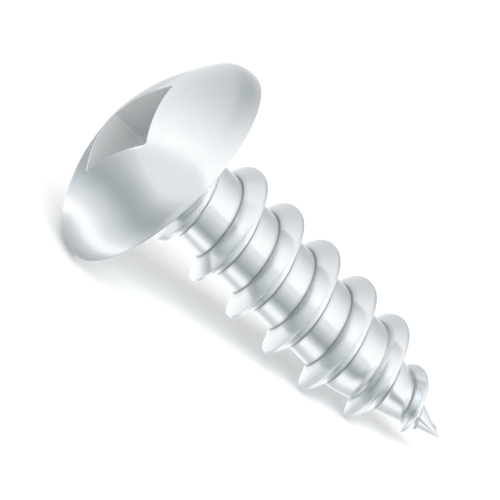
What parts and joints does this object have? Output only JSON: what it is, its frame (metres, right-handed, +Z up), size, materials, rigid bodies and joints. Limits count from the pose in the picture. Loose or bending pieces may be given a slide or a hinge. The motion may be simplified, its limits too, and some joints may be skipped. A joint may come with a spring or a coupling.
{
  "type": "truss head self-tapping screw",
  "caption": "Self-tapping screw with a low domed truss head, a square drive recess, and a coarse right-hand thread that runs into a sharp gimlet point.",
  "frame": {"origin": "on the table, under the middle of the length that the lying screw covers", "axes": "+X along the lying screw towards its point, +Z up; the screw's own axis lies in the XZ plane and dips 13.06 degrees below +X, because the head is wider than the thread"},
  "size_m": [0.0182, 0.0096, 0.0095],
  "materials": {
    "zinc_plate": "bright zinc-plated steel"
  },
  "bodies": {
    "root": {"screw": "zinc_plate"}
  },
  "joints": []
}
